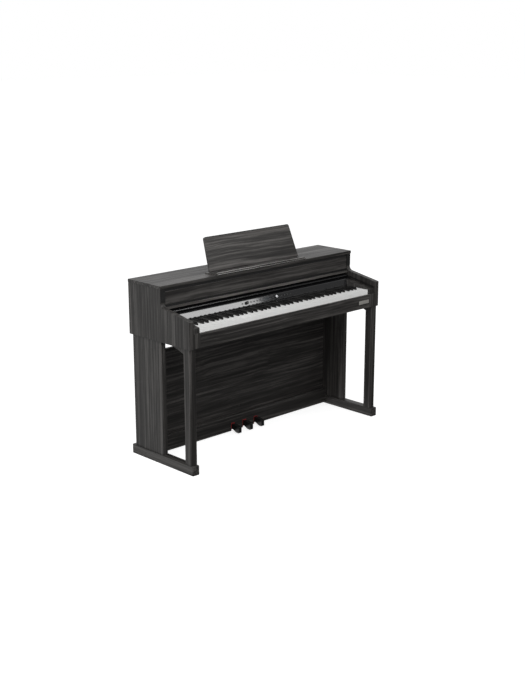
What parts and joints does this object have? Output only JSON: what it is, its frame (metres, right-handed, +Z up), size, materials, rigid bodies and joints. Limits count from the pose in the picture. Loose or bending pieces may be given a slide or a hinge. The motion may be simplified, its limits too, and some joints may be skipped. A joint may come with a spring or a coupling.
{
  "type": "digital piano on stand",
  "caption": "Slab-sided cabinet digital piano with a full keyboard, sliding fallboard, folding music desk, control strip and three pedals.",
  "frame": {"origin": "centre of the footprint on the floor", "axes": "+X along the keyboard towards the treble, +Y away from the player, +Z up"},
  "size_m": [1.377, 0.48, 1.0979],
  "materials": {
    "charcoal_wood": "charcoal wood-grain foil, satin",
    "back_hardboard": "dark painted hardboard, matt",
    "black_trim": "matt black trim",
    "gloss_black": "high gloss black",
    "gloss_black_board": "black lacquered board",
    "display_glass": "smoked display window",
    "black_plastic": "fine textured black plastic",
    "champagne_metal": "brushed champagne plate, blank",
    "zinc_steel": "zinc plated sheet steel",
    "bright_steel": "ground steel rod",
    "red_felt": "pressed felt",
    "circuit_board": "green circuit board with parts",
    "speaker_black": "black pressed frame and magnet",
    "black_steel": "black powder coat",
    "black_screw": "blackened screws",
    "knob_black": "soft touch black knob",
    "dial_satin": "turned satin metal cap",
    "button_black": "satin black buttons",
    "pedal_black": "black semi gloss casting",
    "key_ivory": "white key plastic, satin top",
    "key_ebony": "black key plastic, satin"
  },
  "bodies": {
    "cabinet": {"top_board": "charcoal_wood", "case_side_left": "charcoal_wood", "case_side_right": "charcoal_wood", "upper_front_panel": "charcoal_wood", "ledge_molding": "charcoal_wood", "key_bed": "charcoal_wood", "key_slip": "charcoal_wood", "cheek_blocks": "charcoal_wood", "stand_side_left": "charcoal_wood", "stand_side_right": "charcoal_wood", "leg_left": "charcoal_wood", "leg_right": "charcoal_wood", "foot_left": "charcoal_wood", "foot_right": "charcoal_wood", "kick_panel": "charcoal_wood", "pedal_rail": "charcoal_wood", "music_ledge": "charcoal_wood", "case_back_panel": "back_hardboard", "upper_front_backer": "black_trim", "upper_end_strips": "black_trim", "control_fascia": "gloss_black", "display": "display_glass", "fallboard_tracks": "black_plastic", "badge_plate": "champagne_metal", "key_chassis": "zinc_steel", "key_pivot_rod": "bright_steel", "key_stop_felt": "red_felt", "main_board": "circuit_board", "speakers": "speaker_black", "speaker_grilles": "black_plastic", "headphone_box": "black_plastic", "jack_panel": "black_plastic", "pedal_box": "black_steel", "pedal_pivot_rod": "bright_steel", "back_screws": "black_screw"},
    "fallboard": {"fallboard": "gloss_black_board"},
    "music_desk": {"music_desk": "charcoal_wood"},
    "desk_strut": {"desk_strut": "black_steel"},
    "volume_knob": {"volume_knob": "knob_black"},
    "function_dial": {"function_dial": "dial_satin"},
    "power_button": {"power_button": "button_black"},
    "tone_buttons": {"tone_buttons": "button_black"},
    "song_buttons": {"song_buttons": "button_black"},
    "pedal_left": {"pedal_left": "pedal_black"},
    "pedal_middle": {"pedal_middle": "pedal_black"},
    "pedal_right": {"pedal_right": "pedal_black"},
    "other_keys": {"white_keys": "key_ivory", "black_keys": "key_ebony"},
    "key_c": {"key_c": "key_ivory"},
    "key_c_sharp": {"key_c_sharp": "key_ebony"},
    "key_d": {"key_d": "key_ivory"},
    "key_d_sharp": {"key_d_sharp": "key_ebony"},
    "key_e": {"key_e": "key_ivory"},
    "key_f": {"key_f": "key_ivory"},
    "key_f_sharp": {"key_f_sharp": "key_ebony"},
    "key_g": {"key_g": "key_ivory"},
    "key_g_sharp": {"key_g_sharp": "key_ebony"},
    "key_a": {"key_a": "key_ivory"},
    "key_a_sharp": {"key_a_sharp": "key_ebony"},
    "key_b": {"key_b": "key_ivory"}
  },
  "joints": [
    {"name": "fallboard_slide", "type": "slide", "parent": "cabinet", "child": "fallboard", "axis": [0, -0.9835, -0.1807], "range_m": [0, 0.191]},
    {"name": "desk_fold", "type": "hinge", "parent": "cabinet", "child": "music_desk", "pos_m": [0, 0.039, 0.93], "axis": [1, 0, 0], "range_deg": [-70, 0]},
    {"name": "strut_swing", "type": "hinge", "parent": "music_desk", "child": "desk_strut", "pos_m": [0, 0.0629, 0.98515], "axis": [1, 0, 0], "range_deg": [0, 139.5]},
    {"name": "volume_knob_turn", "type": "hinge", "parent": "cabinet", "child": "volume_knob", "pos_m": [-0.148, -0.0565, 0.75615], "axis": [0, -0.8572, 0.5149], "range_deg": [-150, 150]},
    {"name": "function_dial_turn", "type": "hinge", "parent": "cabinet", "child": "function_dial", "pos_m": [0.064, -0.0565, 0.75615], "axis": [0, -0.8572, 0.5149], "range_deg": [-150, 150]},
    {"name": "power_button_press", "type": "slide", "parent": "cabinet", "child": "power_button", "axis": [0, 0.8572, -0.5149], "range_m": [0, 0.0008], "stiffness_N_per_m": 300, "springref_m": -0.001},
    {"name": "tone_buttons_press", "type": "slide", "parent": "cabinet", "child": "tone_buttons", "axis": [0, 0.8572, -0.5149], "range_m": [0, 0.0008], "stiffness_N_per_m": 1500, "springref_m": -0.001},
    {"name": "song_buttons_press", "type": "slide", "parent": "cabinet", "child": "song_buttons", "axis": [0, 0.8572, -0.5149], "range_m": [0, 0.0008], "stiffness_N_per_m": 1800, "springref_m": -0.001},
    {"name": "pedal_left_press", "type": "hinge", "parent": "cabinet", "child": "pedal_left", "pos_m": [0, 0.205, 0.034], "axis": [1, 0, 0], "range_deg": [0, 1.3], "stiffness_Nm_per_rad": 60, "springref_deg": -1.72},
    {"name": "pedal_middle_press", "type": "hinge", "parent": "cabinet", "child": "pedal_middle", "pos_m": [0, 0.205, 0.034], "axis": [1, 0, 0], "range_deg": [0, 1.3], "stiffness_Nm_per_rad": 60, "springref_deg": -1.72},
    {"name": "pedal_right_press", "type": "hinge", "parent": "cabinet", "child": "pedal_right", "pos_m": [0, 0.205, 0.034], "axis": [1, 0, 0], "range_deg": [0, 1.3], "stiffness_Nm_per_rad": 60, "springref_deg": -1.72},
    {"name": "key_c_press", "type": "hinge", "parent": "cabinet", "child": "key_c", "pos_m": [0, 0.012, 0.722], "axis": [1, 0, 0], "range_deg": [0, 2.6], "stiffness_Nm_per_rad": 3, "springref_deg": -6.88},
    {"name": "key_c_sharp_press", "type": "hinge", "parent": "cabinet", "child": "key_c_sharp", "pos_m": [0, 0.012, 0.722], "axis": [1, 0, 0], "range_deg": [0, 2.6], "stiffness_Nm_per_rad": 3, "springref_deg": -6.88},
    {"name": "key_d_press", "type": "hinge", "parent": "cabinet", "child": "key_d", "pos_m": [0, 0.012, 0.722], "axis": [1, 0, 0], "range_deg": [0, 2.6], "stiffness_Nm_per_rad": 3, "springref_deg": -6.88},
    {"name": "key_d_sharp_press", "type": "hinge", "parent": "cabinet", "child": "key_d_sharp", "pos_m": [0, 0.012, 0.722], "axis": [1, 0, 0], "range_deg": [0, 2.6], "stiffness_Nm_per_rad": 3, "springref_deg": -6.88},
    {"name": "key_e_press", "type": "hinge", "parent": "cabinet", "child": "key_e", "pos_m": [0, 0.012, 0.722], "axis": [1, 0, 0], "range_deg": [0, 2.6], "stiffness_Nm_per_rad": 3, "springref_deg": -6.88},
    {"name": "key_f_press", "type": "hinge", "parent": "cabinet", "child": "key_f", "pos_m": [0, 0.012, 0.722], "axis": [1, 0, 0], "range_deg": [0, 2.6], "stiffness_Nm_per_rad": 3, "springref_deg": -6.88},
    {"name": "key_f_sharp_press", "type": "hinge", "parent": "cabinet", "child": "key_f_sharp", "pos_m": [0, 0.012, 0.722], "axis": [1, 0, 0], "range_deg": [0, 2.6], "stiffness_Nm_per_rad": 3, "springref_deg": -6.88},
    {"name": "key_g_press", "type": "hinge", "parent": "cabinet", "child": "key_g", "pos_m": [0, 0.012, 0.722], "axis": [1, 0, 0], "range_deg": [0, 2.6], "stiffness_Nm_per_rad": 3, "springref_deg": -6.88},
    {"name": "key_g_sharp_press", "type": "hinge", "parent": "cabinet", "child": "key_g_sharp", "pos_m": [0, 0.012, 0.722], "axis": [1, 0, 0], "range_deg": [0, 2.6], "stiffness_Nm_per_rad": 3, "springref_deg": -6.88},
    {"name": "key_a_press", "type": "hinge", "parent": "cabinet", "child": "key_a", "pos_m": [0, 0.012, 0.722], "axis": [1, 0, 0], "range_deg": [0, 2.6], "stiffness_Nm_per_rad": 3, "springref_deg": -6.88},
    {"name": "key_a_sharp_press", "type": "hinge", "parent": "cabinet", "child": "key_a_sharp", "pos_m": [0, 0.012, 0.722], "axis": [1, 0, 0], "range_deg": [0, 2.6], "stiffness_Nm_per_rad": 3, "springref_deg": -6.88},
    {"name": "key_b_press", "type": "hinge", "parent": "cabinet", "child": "key_b", "pos_m": [0, 0.012, 0.722], "axis": [1, 0, 0], "range_deg": [0, 2.6], "stiffness_Nm_per_rad": 3, "springref_deg": -6.88},
    {"name": "other_keys_press", "type": "hinge", "parent": "cabinet", "child": "other_keys", "pos_m": [0, 0.012, 0.722], "axis": [1, 0, 0], "range_deg": [0, 2.6], "stiffness_Nm_per_rad": 240, "springref_deg": -4.58}
  ],
  "couplings": [
    {"joint": "strut_swing", "follows": "desk_fold", "ratio": -1.9929}
  ]
}
